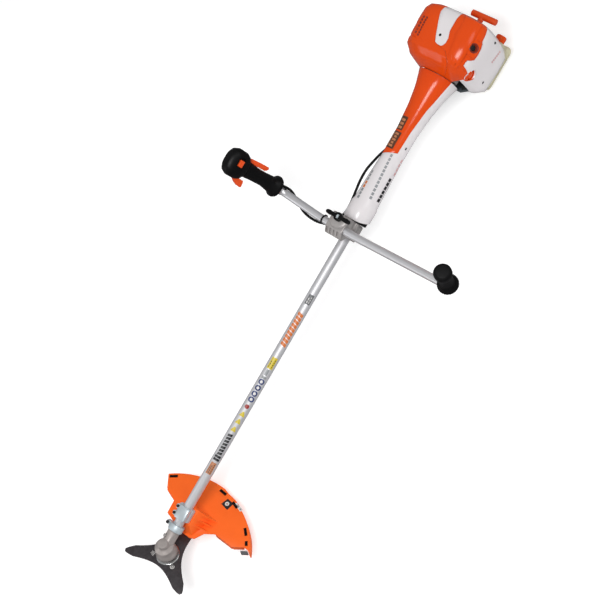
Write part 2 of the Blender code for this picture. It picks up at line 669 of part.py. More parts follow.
# ----------------------------------------------------------------------- engine
def build_power():
    housing = [(14.3, 1428), (20, 1428), (20, 1450), (41, 1466), (42, 1470), (42, 1498), (49, 1498)]
    housing += [(49, 1502), (40.5, 1502), (40.5, 1473), (38, 1470), (9, 1460), (9, 1453), (14.3, 1453)]
    lathe("clutch_housing", SHAFT, housing, "alloy", steps=22)
    drum = [(4.3, 1463), (8, 1463), (8, 1472), (38, 1472), (38, 1494), (35.5, 1494), (35.5, 1475)]
    drum += [(4.3, 1475)]
    lathe("clutch_drum", SHAFT, drum, "iron", steps=20)
    for k in range(2):
        turns = [math.radians(180 * k + 10 + 160 * i / 12) for i in range(13)]
        outline = [(34.6 * math.cos(t), 34.6 * math.sin(t)) for t in turns]
        outline += [(14.5 * math.cos(t), 14.5 * math.sin(t)) for t in reversed(turns)]
        prism(f"clutch_shoe_{k}", SHAFT, outline, 1477.5, 1493, "iron")
    wheel = [(6.3, 1478), (13.5, 1478), (13.5, 1505), (50, 1505), (52, 1507), (52, 1522), (44, 1522)]
    wheel += [(44, 1511), (14, 1511), (14, 1516), (6.3, 1516)]
    lathe("flywheel", SHAFT, wheel, "alloy", steps=20)
    front = [(0, 1477), (6, 1477), (6, 1517), (7.5, 1519), (7.5, 1542), (26, 1542), (26, 1549), (0, 1549)]
    crank = lathe("crankshaft", SHAFT, front, "steel", steps=20)
    rear = [(0, 1563), (26, 1563), (26, 1570), (7.5, 1570), (7.5, 1618), (0, 1618)]
    pin = at(0, 0, 15, BACK, UP)
    fuse(crank, lathe("crank_pin", pin, [(0, 1547), (6, 1547), (6, 1565), (0, 1565)], steps=12))
    fuse(crank, lathe("crank_rear", SHAFT, rear, steps=20))
    case = lathe("crankcase", SHAFT, [(0, 1530), (34, 1530), (34, 1582), (0, 1582)], "alloy", steps=20)
    fuse(case, block("crankcase_deck", (1532, 1580), (-29, 29), (10, 44), round_mm=2))
    cut(case, lathe("crankcase_room", SHAFT, [(0, 1535), (29, 1535), (29, 1577), (0, 1577)], steps=20))
    upright = at(CRANK_S, 0, 0, UP)
    cut(case, lathe("crankcase_mouth", upright, [(0, 5), (18.9, 5), (18.9, 60), (0, 60)], steps=20))
    cut(case, lathe("crankcase_shaft_way", SHAFT, [(0, 1520), (8, 1520), (8, 1590), (0, 1590)], steps=20))
    barrel = [(18.9, 44.3), (30, 44.3), (30, 49), (24, 49)]
    for k in range(5):
        low = 53 + 6 * k
        barrel += [(24, low), (35, low), (35, low + 2.2), (24, low + 2.2)]
    barrel += [(22, 84), (0, 84), (0, 76), (18.9, 76)]
    lathe("cylinder", upright, barrel, "alloy", steps=14)
    plug = [(0, 84.4), (7, 84.4), (7, 89), (8, 90), (8, 102), (5, 106), (0, 106)]
    lathe("spark_plug", upright, plug, "rubber", steps=12)
    muffler = block("muffler", (1540, 1602), (-82, -40), (10, 70), "iron", 5)
    fuse(muffler, block("muffler_outlet", (1560, 1580), (-90, -60), (22, 34), round_mm=2))
    carb = block("carburettor", (1536, 1578), (40, 66), (6, 46), "alloy", 3)
    cut(carb, lathe("carburettor_bore", at(CRANK_S, 30, 26, LEFT), [(0, 0), (8, 0), (8, 50), (0, 50)], steps=16))


def hull(s, grow=0.0):
    """The rounded section of the engine covers at a distance s."""
    table = [
        (1499, 57, 57, 2.5),
        (1506, 72, 74, 2.8),
        (1516, 90, 95, 3.4),
        (1536, 103, 112, 4.4),
        (1600, 105, 116, 4.6),
        (1640, 104, 115, 4.5),
        (1655, 99, 108, 4.2),
        (1664, 88, 94, 3.6),
        (1669, 69.5, 69.5, 2),
    ]
    half_y, half_z, power = between(table, s)
    return (s, 0, 2 if 1500 < s < 1668 else 0, half_y + grow, half_z + grow, power)


def build_covers():
    # Where the covers meet: angles round the section at each distance s.
    cover_edge = [(1499, 26), (1516, 22), (1528, 19), (1540, 41), (1556, 41), (1567, 31), (1596, 29)]
    cover_edge += [(1622, 35), (1669, 37)]
    seam = [(1499, 50), (1508, 55), (1530, 62), (1550, 70), (1557, 83.6)]
    strip_edge = [(1558, 81, 87), (1562, 78, 92), (1570, 76, 94), (1583, 76, 97), (1603, 79.5, 101)]
    strip_edge += [(1635, 80, 108), (1669, 79, 110)]
    panel_edge = [(1499, 150), (1516, 156), (1540, 166), (1560, 172), (1669, 172)]
    front = (1499, 1502, 1506, 1511, 1516, 1522, 1528, 1536, 1540, 1550, 1557)
    rear = (1558, 1562, 1570, 1583, 1603, 1622, 1640, 1655, 1660, 1664, 1669)

    def hood_first(s):
        return between(seam, s)[0] + 0.4 if s < 1558 else between(strip_edge, s)[1] + 0.35

    def shroud_last(s):
        return between(seam, s)[0] if s < 1558 else between(strip_edge, s)[0] - 0.35

    stations = [(hull(s), hood_first(s), between(panel_edge, s)[0]) for s in front + rear]
    hood = shell("engine_hood", stations, "orange", arcs=10)
    for k in range(4):
        s = 1564 + 15 * k
        cut(hood, block(f"hood_slot_{k}", (s, s + 7.5), (-118, -90), (27, 64)))
    stations = [(hull(s), between(panel_edge, s)[0] + 0.4, 205) for s in front + rear]
    shell("side_panel", stations, "white", arcs=7)
    stations = [(hull(s), *between(strip_edge, s)) for s in rear]
    strip = shell("top_strip", stations, "white", arcs=5)
    cut(strip, lathe("strip_screw_hole", at(1583, 0, 90, UP), [(0, 0), (4, 0), (4, 40), (0, 40)], steps=12))

    stations = [(hull(s), between(cover_edge, s)[0] + 0.5, shroud_last(s)) for s in front + rear]
    shroud = shell("fan_shroud", stations, "orange", arcs=9)
    ridge = [(1508, 0.3, 52), (1526, 5, 60), (1550, 6, 64), (1603, 6, 69), (1655, 6, 70), (1662, 0.5, 70)]
    stations = [(hull(s, grow), 47, last) for s, grow, last in ridge]
    fuse(shroud, shell("shroud_ridge", stations, None, wall=7.5, arcs=5))
    frame = axes(world(1592, 93, 93), Vector((0, 0.77, 0.64)), BACK)
    fuse(shroud, block("shroud_frame", (-24, 24), (-17, 17), (-6, 4.5), round_mm=3, frame=frame))
    cut(shroud, lathe("shroud_port", frame, [(0, -30), (8.5, -30), (8.5, 1), (11, 6), (11, 20), (0, 20)], steps=18))

    corner = [(1499, 2.6), (1516, 4.2), (1540, 7), (1640, 7), (1669, 2)]
    stations = []
    for s in (1510.5, *front[4:], *rear):
        stations.append(((*hull(s), between(corner, s)[0]), -42, between(cover_edge, s)[0]))
    cover = shell("filter_cover", stations, "white", arcs=12)
    cut(cover, block("filler_notch", (1640, 1690), (37, 89), (-120, -53), round_mm=3))
    knob_at = at(1536, 0, 38, LEFT)
    cup = lathe("knob_cup", knob_at, [(0, 78), (18.5, 78), (18.5, 118), (0, 118)], steps=24)
    outside = [(hull(s, 40), -30, 75) for s in (1500, 1506, 1516, 1536, 1560, 1600)]
    cut(cup, shell("outside_of_cover", outside, None, wall=39.6, arcs=20))
    fuse(cover, cup)
    cut(cover, lathe("knob_recess", knob_at, [(0, 81), (16, 81), (16, 130), (0, 130)], steps=24))
    cut(cover, lathe("knob_way", knob_at, [(0, 60), (4.6, 60), (4.6, 90), (0, 90)], steps=12))
    cut(shroud, lathe("knob_gap", knob_at, [(0, 60), (18.9, 60), (18.9, 130), (0, 130)], steps=24))
    knob = [(0, 70), (4.3, 70), (4.3, 81.4), (12, 81.4), (13.2, 84), (12.6, 96), (10, 98), (0, 98)]
    lathe("cover_knob", knob_at, knob, "orange", 24, lambda i, r: 1 - 0.06 * (i % 4 == 0) * (r > 11))

    # Recoil starter behind the engine.
    cup = [(63.5, 1634), (66, 1634), (66, 1663), (58, 1670), (0, 1670), (0, 1636), (5, 1636), (5, 1667)]
    cup += [(57, 1667), (63.5, 1661)]
    starter = lathe("starter_housing", SHAFT, cup, "orange", steps=26)
    rope_at = at(1639, 21, 0, BACK)
    cut(starter, lathe("rope_way", rope_at, [(0, 20), (3.4, 20), (3.4, 40), (0, 40)], steps=12))
    pulley = [(5.3, 1639), (24, 1639), (24, 1641), (20, 1643), (20, 1647), (24, 1649), (24, 1651), (5.3, 1651)]
    lathe("starter_pulley", SHAFT, pulley, "black", steps=18)
    handle = pipe("recoil_handle", [world(1699, y, 0) for y in (-12, -9, 27, 63, 66)], 9, "red", steps=16)
    stem = [(0, 15), (1.8, 15), (1.8, 33), (6, 33), (8, 45), (8, 58), (0, 58)]
    fuse(handle, lathe("recoil_stem", rope_at, stem, steps=12))


def build_tank():
    tank = block("fuel_tank", (1546, 1676), (-80, 93), (-130, -94), "tank", 12, 3)
    fuse(tank, block("fuel_tank_shoulder", (1600, 1671), (42, 84), (-112, -58), round_mm=6, segments=2))
    cut(tank, block("fuel_tank_room", (1549, 1673), (-77, 90), (-127, -97), round_mm=9, segments=2))
    cut(tank, block("fuel_tank_rise", (1603, 1668), (45, 81), (-110, -61), round_mm=3))
    neck = at(1660, 65, -76, BACK)
    cut(tank, lathe("fuel_tank_mouth", neck, [(0, 0), (10, 0), (10, 30), (0, 30)], steps=20))
    cap = [(0, 3), (8.5, 3), (8.5, 11.5), (14, 11.5), (15, 14), (15, 28), (13, 30), (0, 30)]
    lathe("fuel_cap", neck, cap, "orange", 24, lambda i, r: 1 - 0.06 * (i % 2) * (r > 13))

    leg = [(1512, -56), (1500, -56), (1500, -68), (1526, -120), (1541, -149), (1548, -155), (1632, -155)]
    leg += [(1662, -145), (1662, -139), (1632, -149), (1552, -149), (1547, -144), (1533, -116), (1508, -67)]
    foot = side_prism("engine_foot", leg, -46, 46, "slate")
    for k, s in enumerate((1556, 1612)):
        fuse(foot, block(f"foot_rib_{k}", (s, s + 14), (-40, 40), (-152, -130.4), round_mm=2))


build_head()
build_guard()
build_tube()
build_handlebar()
build_controls()
build_neck()
build_power()
build_covers()
build_tank()
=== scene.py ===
"""Visual model of the brush cutter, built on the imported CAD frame. Metres, +X forward, +Y left, +Z up."""

import json
import math

import bmesh
import bpy
from mathutils import Matrix, Vector
from mathutils.bvhtree import BVHTree

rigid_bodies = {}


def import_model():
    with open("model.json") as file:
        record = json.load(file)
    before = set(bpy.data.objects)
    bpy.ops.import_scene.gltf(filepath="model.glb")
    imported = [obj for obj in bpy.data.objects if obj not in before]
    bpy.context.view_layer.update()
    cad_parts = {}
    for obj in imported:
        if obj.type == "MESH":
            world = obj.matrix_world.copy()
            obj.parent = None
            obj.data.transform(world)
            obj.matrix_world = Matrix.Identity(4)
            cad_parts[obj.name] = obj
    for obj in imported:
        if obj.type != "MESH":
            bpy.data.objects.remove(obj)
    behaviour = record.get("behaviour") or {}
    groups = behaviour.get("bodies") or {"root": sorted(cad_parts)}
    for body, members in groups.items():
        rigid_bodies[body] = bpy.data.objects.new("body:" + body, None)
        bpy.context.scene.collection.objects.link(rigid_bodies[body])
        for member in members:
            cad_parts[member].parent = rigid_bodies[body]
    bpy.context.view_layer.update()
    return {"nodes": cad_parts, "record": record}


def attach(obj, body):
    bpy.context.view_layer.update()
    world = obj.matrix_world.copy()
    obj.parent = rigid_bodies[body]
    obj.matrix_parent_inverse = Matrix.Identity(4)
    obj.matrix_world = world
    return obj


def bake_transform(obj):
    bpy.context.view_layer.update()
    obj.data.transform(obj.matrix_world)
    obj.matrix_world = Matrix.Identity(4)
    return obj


for item in list(bpy.data.objects):
    bpy.data.objects.remove(item, do_unlink=True)
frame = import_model()
NODES = frame["nodes"]
SCENE = bpy.context.scene

# Sizes are in millimetres, and MM turns them into metres.
MM = 0.001
FOOT_S = 1590.0  # from the gear head back to the world's origin
SHAFT_Z = 155.0  # height of the tube's axis
LEAN = math.radians(28.5)  # how far the spindle leans
TUBE_R = 14.0
BAR_TIE_R = 11.2
CABLE_TIE_R = 4.4  # just over the throttle cable's own radius
GUARD_H = -8.0  # height of the guard's top along the spindle
BLADE_TOP = -43.8  # height of the blade's top along the spindle

# Labels are sheets that lie just above their surface, those of a second layer higher still.
LABEL_LIFT = 0.25 * MM
LABEL_THICKNESS = 0.16 * MM
SECOND_LAYER = 0.22 * MM
LABEL_STEP = 3 * MM
SAME_POINT = 0.000001


def world(s, y, z):
    """Shaft coordinates in millimetres to world metres."""
    return Vector(((FOOT_S - s) * MM, y * MM, (SHAFT_Z + z) * MM))


def axes(origin, direction, first):
    """A matrix whose Z is direction and whose X is first made square to it."""
    z = direction.normalized()
    x = (first - z * first.dot(z)).normalized()
    return Matrix.Translation(origin) @ Matrix((x, z.cross(x), z)).transposed().to_4x4()


BACK = Vector((-1, 0, 0))
LEFT = Vector((0, 1, 0))
UP = Vector((0, 0, 1))
GEAR = world(0, 0, 0)
SPINDLE = Vector((-math.sin(LEAN), 0, math.cos(LEAN)))
HEAD_REAR = Vector((-math.cos(LEAN), 0, -math.sin(LEAN)))
HEAD = axes(GEAR, SPINDLE, HEAD_REAR)  # x rear, y to the user's right
HANDLE_DIR = Vector((0, -78, 190)).normalized()
HANDLE = axes(world(1019, -211, 90), HANDLE_DIR, BACK)


# -------------------------------------------------------------------- materials
class Look:
    """A node material with helpers for the few patterns used here."""

    def __init__(self, name):
        self.material = bpy.data.materials.new(name)
        self.material.use_nodes = True
        self.tree = self.material.node_tree
        self.shader = self.tree.nodes["Principled BSDF"]
        self.coords = self.tree.nodes.new("ShaderNodeTexCoord").outputs["Object"]

    def link(self, value, socket):
        """Feeds a socket from another one, or sets its value."""
        if hasattr(value, "is_linked"):
            self.tree.links.new(value, socket)
        elif isinstance(value, tuple) and len(value) == 3 and len(socket.default_value) == 4:
            socket.default_value = (*value, 1)
        else:
            socket.default_value = value

    def node(self, kind, **inputs):
        made = self.tree.nodes.new(kind)
        for key, value in inputs.items():
            self.link(value, made.inputs[key.replace("_", " ")])
        return made

    def stretched(self, scale):
        made = self.node("ShaderNodeMapping", Vector=self.coords)
        made.inputs["Scale"].default_value = scale
        return made.outputs[0]

    def along(self, axis):
        """One coordinate of the object frame."""
        return self.node("ShaderNodeSeparateXYZ", Vector=self.coords).outputs[axis]

    def noise(self, scale, detail=4.0, vector=None, roughness=0.5):
        made = self.node("ShaderNodeTexNoise", Vector=vector or self.coords, Scale=scale, Detail=detail)
        made.inputs["Roughness"].default_value = roughness
        return made.outputs["Fac"]

    def ramp(self, factor, stops):
        made = self.node("ShaderNodeValToRGB", Fac=factor)
        elements = made.color_ramp.elements
        elements[0].position = stops[0][0]
        elements[1].position = stops[-1][0]
        for place, _ in stops[1:-1]:
            elements.new(place)
        for element, (_, colour) in zip(elements, stops):
            grey = isinstance(colour, (int, float))
            element.color = (colour, colour, colour, 1) if grey else (*colour, 1)
        return made.outputs["Color"]

    def mix(self, factor, first, second):
        made = self.tree.nodes.new("ShaderNodeMix")
        made.data_type = "RGBA"
        for socket, value in zip((made.inputs[0], made.inputs[6], made.inputs[7]), (factor, first, second)):
            self.link(value, socket)
        return made.outputs[2]

    def math(self, operation, first, second=0.0):
        made = self.tree.nodes.new("ShaderNodeMath")
        made.operation = operation
        for socket, value in zip(made.inputs, (first, second)):
            self.link(value, socket)
        return made.outputs[0]

    def bump(self, height, strength, distance):
        made = self.node("ShaderNodeBump", Height=height, Strength=strength, Distance=distance)
        self.tree.links.new(made.outputs[0], self.shader.inputs["Normal"])

    def set(self, **inputs):
        for key, value in inputs.items():
            self.link(value, self.shader.inputs[key.replace("_", " ")])
        return self.material


def scaled(colour, factor):
    return tuple(min(1.0, channel * factor) for channel in colour)


def plastic(name, colour, rough, grain, spread, specular=0.5):
    """Moulded plastic: fine texture, slow tone change, and patches where the gloss is duller."""
    look = Look(name)
    shades = [(0.3, scaled(colour, 1 - spread * 2)), (0.7, scaled(colour, 1 + spread))]
    tone = look.ramp(look.noise(7.0, 3.0), shades)
    gloss = look.ramp(look.noise(45.0, 4.0), [(0.3, max(0.02, rough - 0.02)), (0.8, rough + 0.04)])
    look.bump(look.noise(900.0, 2.0), grain, 0.0002)
    return look.set(Base_Color=tone, Roughness=gloss, Specular_IOR_Level=specular)


def grip(name, colour, rough, cell, depth):
    """Soft black grip: a fine pebbled skin with greyer high spots."""
    look = Look(name)
    cells = look.node("ShaderNodeTexVoronoi", Vector=look.coords, Scale=cell).outputs["Distance"]
    worn = look.noise(24.0, 5.0)
    tone = look.ramp(worn, [(0.35, colour), (0.8, scaled(colour, 1.8))])
    gloss = look.ramp(worn, [(0.3, rough + 0.06), (0.75, rough - 0.08)])
    look.bump(cells, 0.35, depth)
    return look.set(Base_Color=tone, Roughness=gloss, Specular_IOR_Level=0.14)


def cast(name, colour, rough=0.45, metallic=0.5, grain=0.3):
    """Cast alloy: pitted skin with darker hollows."""
    look = Look(name)
    pits = look.noise(420.0, 5.0, roughness=0.65)
    tone = look.ramp(look.noise(38.0, 5.0), [(0.3, scaled(colour, 0.82)), (0.7, colour)])
    gloss = look.ramp(pits, [(0.3, rough + 0.12), (0.7, rough - 0.08)])
    look.bump(pits, grain, 0.0003)
    return look.set(Base_Color=tone, Roughness=gloss, Metallic=metallic)


def gear_skin():
    """The gear case: warm grey casting whose tube collar is a cooler, paler paint."""
    look = Look("gear_case_skin")
    pits = look.noise(420.0, 5.0, roughness=0.65)
    warm = look.ramp(look.noise(38.0, 5.0), [(0.3, (0.34, 0.305, 0.29)), (0.7, (0.46, 0.415, 0.395))])
    cool = look.ramp(look.noise(30.0, 4.0), [(0.3, (0.48, 0.56, 0.60)), (0.7, (0.62, 0.68, 0.72))])
    collar = look.math("LESS_THAN", look.along("X"), world(55, 0, 0).x)
    look.bump(pits, 0.3, 0.0003)
    gloss = look.ramp(pits, [(0.3, 0.55), (0.7, 0.38)])
    return look.set(Base_Color=look.mix(collar, warm, cool), Roughness=gloss, Metallic=0.4)


def drawn(name, colour, rough, along=(4.0, 900.0, 900.0), metallic=1.0, grain=0.1):
    """Drawn or turned metal: fine lines, long in the direction with the small scale, and slow streaks."""
    look = Look(name)
    lines = look.noise(1.0, 3.0, look.stretched(along))
    streaks = look.noise(1.0, 3.0, look.stretched(tuple(a * 0.1 for a in along)))
    tone = look.ramp(streaks, [(0.3, scaled(colour, 0.86)), (0.65, colour)])
    gloss = look.ramp(lines, [(0.3, rough + 0.05), (0.7, max(0.04, rough - 0.03))])
    look.bump(lines, grain, 0.00004)
    return look.set(Base_Color=tone, Roughness=gloss, Metallic=metallic)


def lacquered_blade():
    """Dark lacquer on rolled steel, rubbed paler in random patches."""
    look = Look("blade_lacquer")
    shades = [(0.4, (0.034, 0.029, 0.032)), (0.75, (0.062, 0.055, 0.059))]
    rubbed = look.ramp(look.noise(70.0, 6.0, roughness=0.7), shades)
    lines = look.noise(1.0, 3.0, look.stretched((700.0, 60.0, 60.0)))
    look.bump(lines, 0.12, 0.0001)
    gloss = look.ramp(lines, [(0.3, 0.5), (0.7, 0.36)])
    return look.set(Base_Color=rubbed, Roughness=gloss, Metallic=0.25)


def print_and_shade_film(name, colour):
    """Printed film: a faint dot grain in the ink. The dark red-brown film is no print but painted shade."""
    look = Look(name)
    tone = look.ramp(look.noise(240.0, 2.0), [(0.35, scaled(colour, 0.9)), (0.65, colour)])
    look.bump(look.noise(900.0, 2.0), 0.05, 0.0001)
    return look.set(Base_Color=tone, Roughness=0.4)


LOOKS = {
    "orange": plastic("orange_shell", (0.72, 0.066, 0.004), 0.17, 0.015, 0.03, 0.26),
    "guard_orange": plastic("guard_shell", (1.0, 0.148, 0.018), 0.45, 0.08, 0.04, 0.18),
    "white": plastic("white_shell", (0.72, 0.69, 0.70), 0.2, 0.01, 0.02, 0.4),
    "black": grip("black_grip", (0.0022, 0.0022, 0.0024), 0.42, 900.0, 0.0002),
    "rubber": grip("soft_rubber", (0.0024, 0.0024, 0.0026), 0.5, 700.0, 0.0003),
    "slate": plastic("slate_plastic", (0.05, 0.065, 0.075), 0.4, 0.1, 0.08),
    "red": plastic("lever_red", (0.74, 0.074, 0.008), 0.3, 0.04, 0.05, 0.3),
    "tank": plastic("tank_shell", (0.60, 0.565, 0.39), 0.34, 0.08, 0.05),
    "alloy": cast("cast_alloy", (0.46, 0.435, 0.425)),
    "pale_alloy": cast("pale_cast_alloy", (0.60, 0.67, 0.71), 0.38, 0.45),
    "iron": cast("machined_iron", (0.16, 0.16, 0.16), 0.4, 0.9, 0.12),
    "steel": drawn("turned_steel", (0.55, 0.55, 0.55), 0.22),
    "black_steel": plastic("black_oxide", (0.010, 0.010, 0.011), 0.32, 0.06, 0.2),
    "polished": drawn("drawn_tube", (0.72, 0.72, 0.74), 0.5, metallic=0.6, grain=0.06),
    "blade": lacquered_blade(),
}
OWN_LOOKS = {
    "gear_case": gear_skin(),
    "handlebar": drawn("drawn_bar", (0.70, 0.70, 0.72), 0.38, (900.0, 4.0, 900.0), 0.7, 0.06),
}
INKS_AND_SHADE = {
    "ink_black": print_and_shade_film("ink_black", (0.012, 0.012, 0.014)),
    "ink_grey": print_and_shade_film("ink_grey", (0.26, 0.275, 0.285)),
    "ink_slate": print_and_shade_film("ink_slate", (0.12, 0.125, 0.13)),
    "ink_pale": print_and_shade_film("ink_pale", (0.72, 0.70, 0.68)),
    "ink_yellow": print_and_shade_film("ink_yellow", (0.64, 0.50, 0.03)),
    "ink_orange": print_and_shade_film("ink_orange", (0.64, 0.17, 0.035)),
    "ink_red": print_and_shade_film("ink_red", (0.32, 0.02, 0.015)),
    "ink_blue": print_and_shade_film("ink_blue", (0.025, 0.045, 0.16)),
    "ink_copper": print_and_shade_film("ink_copper", (0.50, 0.20, 0.09)),
    "ink_brown": print_and_shade_film("ink_brown", (0.085, 0.03, 0.012)),
    "ink_pink": print_and_shade_film("ink_pink", (0.62, 0.33, 0.33)),
    # painted_shade_maroon is no ink: its dark red-brown paints the shade in the hood's vent slots and in the
    # port's recess.
    "painted_shade_maroon": print_and_shade_film("painted_shade_maroon", (0.16, 0.018, 0.010)),
}
SLOT_OF = {entry["node"]: entry["material_slot"] for entry in frame["record"]["subparts"]}


def dress(obj, look):
    """Gives a CAD node its material, soft shading and a small bevel on its hard edges."""
    obj.data.materials.clear()
    obj.data.materials.append(look)
    for face in obj.data.polygons:
        face.use_smooth = True
    weld = obj.modifiers.new("weld", "WELD")
    weld.merge_threshold = 0.00001
    bevel = obj.modifiers.new("soft_edge", "BEVEL")
    bevel.width = 0.6 * MM
    bevel.segments = 2
    bevel.limit_method = "ANGLE"
    bevel.angle_limit = math.radians(32)
    bevel.harden_normals = True
    bevel.miter_outer = "MITER_ARC"


def surface_of(*names):
    """A search tree over the faces of CAD nodes."""
    points, faces = [], []
    for name in names:
        mesh = NODES[name].data
        first = len(points)
        points += [v.co.copy() for v in mesh.vertices]
        faces += [[first + i for i in face.vertices] for face in mesh.polygons]
    return BVHTree.FromPolygons(points, faces)


# ----------------------------------------------------------------- new pieces
def new_piece(name, bm, looks, body):
    """Turns a bmesh into a piece that rides on a body, if one is given."""
    bmesh.ops.recalc_face_normals(bm, faces=bm.faces)
    mesh = bpy.data.meshes.new(name)
    bm.to_mesh(mesh)
    bm.free()
    obj = bpy.data.objects.new(name, mesh)
    SCENE.collection.objects.link(obj)
    for look in looks:
        mesh.materials.append(look)
    for face in mesh.polygons:
        face.use_smooth = True
    mesh.set_sharp_from_angle(angle=math.radians(30))
    if body:
        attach(obj, body)
    return obj


def sheet_on(bm, place, corners, index, lift=LABEL_LIFT, thickness=LABEL_THICKNESS, step=LABEL_STEP):
    """Lays a thin four-sided sheet; place turns a flat point and a height into a point on the surface."""
    a, b, c, d = (Vector(p) for p in corners)
    across = max(1, round(max((b - a).length, (c - d).length) * MM / step))
    along = max(1, round(max((d - a).length, (c - b).length) * MM / step))
    layers = []
    for height in (lift, lift + thickness):
        grid = []
        for j in range(along + 1):
            t = j / along
            row = []
            for i in range(across + 1):
                u = i / across
                point = (a * (1 - u) + b * u) * (1 - t) + (d * (1 - u) + c * u) * t
                row.append(bm.verts.new(place(point, height)))
            grid.append(row)
        layers.append(grid)
    low, high = layers
    faces = []
    for j in range(along):
        for i in range(across):
            for grid, flip in ((low, True), (high, False)):
                square = [grid[j][i], grid[j][i + 1], grid[j + 1][i + 1], grid[j + 1][i]]
                faces.append(bm.faces.new(square[::-1] if flip else square))
    edge = [(0, i) for i in range(across + 1)] + [(j, across) for j in range(1, along + 1)]
    edge += [(along, i) for i in range(across - 1, -1, -1)] + [(j, 0) for j in range(along - 1, 0, -1)]
    for (j0, i0), (j1, i1) in zip(edge, edge[1:] + edge[:1]):
        faces.append(bm.faces.new((low[j0][i0], low[j1][i1], high[j1][i1], high[j0][i0])))
    for face in faces:
        face.material_index = index


def round_tube(radius, facing, shift):
    """Places points round a tube: x is the distance s less shift, y the width on each side of facing."""

    def place(point, height):
        turn = facing + point.y / radius
        reach = radius + height / MM
        return world(point.x + shift, reach * math.cos(turn), reach * math.sin(turn))

    return place


def onto(tree, origin, normal, first):
    """Places flat points by dropping them on a surface along its rough normal."""
    plane = axes(origin, normal, first)

    def place(point, height):
        start = plane @ Vector((point.x * MM, point.y * MM, 0.05))
        hit, facing, _, _ = tree.ray_cast(start, -normal.normalized(), 0.2)
        if hit is None:
            return plane @ Vector((point.x * MM, point.y * MM, height))
        if facing.dot(normal) < 0:
            facing = -facing
        return hit + facing * height

    return place


def raised(place):
    """The same placing for a second layer, such as the bars on a coloured label."""

    def higher(point, height):
        return place(point, height + SECOND_LAYER)

    return higher


def on_head(name, height):
    """Places points on a CAD node of the cutting head: x to the rear and y left, seen down the spindle."""
    flat = onto(surface_of(name), HEAD @ Vector((0, 0, height * MM)), SPINDLE, HEAD_REAR)

    def place(point, height):
        return flat(Vector((point.x, -point.y)), height)

    return place


def block(start, end, half):
    """A plain oblong, centred on the line y = 0."""
    return [(start, -half), (end, -half), (end, half), (start, half)]


def bars(start, end, low, high, count, gap=0.35, skew=0.0):
    """A row of bars in place of lettering."""
    pitch = (end - start) / count
    for k in range(count):
        a = start + pitch * k
        b = a + pitch * (1 - gap)
        yield [(a, low), (b, low), (b + skew, high), (a + skew, high)]


def disc(centre, radius, inner=0.0, steps=10):
    """Four-sided slices that make a dot or, with an inner radius, a ring."""
    for k in range(steps):
        t0, t1 = (2 * math.pi * (k + j) / steps for j in (0, 1))
        yield [
            (centre[0] + r * math.cos(t), centre[1] + r * math.sin(t))
            for r, t in ((inner, t0), (radius, t0), (radius, t1), (inner, t1))
        ]


def marks(name, body, place, groups, step=LABEL_STEP):
    """A piece made of thin sheets, mostly labels and some painted shade: groups is a list of (ink, shapes).
    """
    bm = bmesh.new()
    inks = []
    for ink, shapes in groups:
        if ink not in inks:
            inks.append(ink)
        for corners in shapes:
            sheet_on(bm, place, [Vector(c) for c in corners], inks.index(ink), step=step)
    bmesh.ops.remove_doubles(bm, verts=bm.verts, dist=SAME_POINT)
    return new_piece(name, bm, [INKS_AND_SHADE[i] for i in inks], body)


def turned(bm, matrix, profile, steps=20, index=0):
    """Adds a turned body to a bmesh; the profile holds (radius, height) in millimetres."""
    rings = []
    for radius, height in profile:
        if radius == 0:
            rings.append([bm.verts.new(matrix @ Vector((0, 0, height * MM)))])
            continue
        ring = []
        for i in range(steps):
            t = 2 * math.pi * i / steps
            spot = Vector((radius * MM * math.cos(t), radius * MM * math.sin(t), height * MM))
            ring.append(bm.verts.new(matrix @ spot))
        rings.append(ring)
    pairs = list(zip(rings, rings[1:]))
    if profile[0][0] and profile[-1][0]:
        pairs.append((rings[-1], rings[0]))
    for low, high in pairs:
        for i in range(steps):
            j = (i + 1) % steps
            corners = [low[i % len(low)], low[j % len(low)], high[j % len(high)], high[i % len(high)]]
            unique = list(dict.fromkeys(corners))
            if len(unique) > 2:
                bm.faces.new(unique).material_index = index


def join_rings(bm, rings, count):
    """Faces between each ring of points and the next, and from the last back to the first."""
    for low, high in zip(rings, rings[1:] + rings[:1]):
        for i in range(count):
            j = (i + 1) % count
            bm.faces.new((low[i], low[j], high[j], high[i]))


def bevelled_box(bm, matrix, low, high, edge):
    """Adds a box with rounded edges, between two corners in millimetres."""
    made = bmesh.ops.create_cube(bm, size=1)["verts"]
    for vert in made:
        spot = [lo + (hi - lo) * (vert.co[k] + 0.5) for k, (lo, hi) in enumerate(zip(low, high))]
        vert.co = matrix @ (Vector(spot) * MM)
    edges = list({e for v in made for e in v.link_edges})
    bmesh.ops.bevel(bm, geom=edges, offset=edge * MM, segments=2, profile=0.6, affect="EDGES")


for name, node in NODES.items():
    dress(node, OWN_LOOKS.get(name) or LOOKS[SLOT_OF[name]])


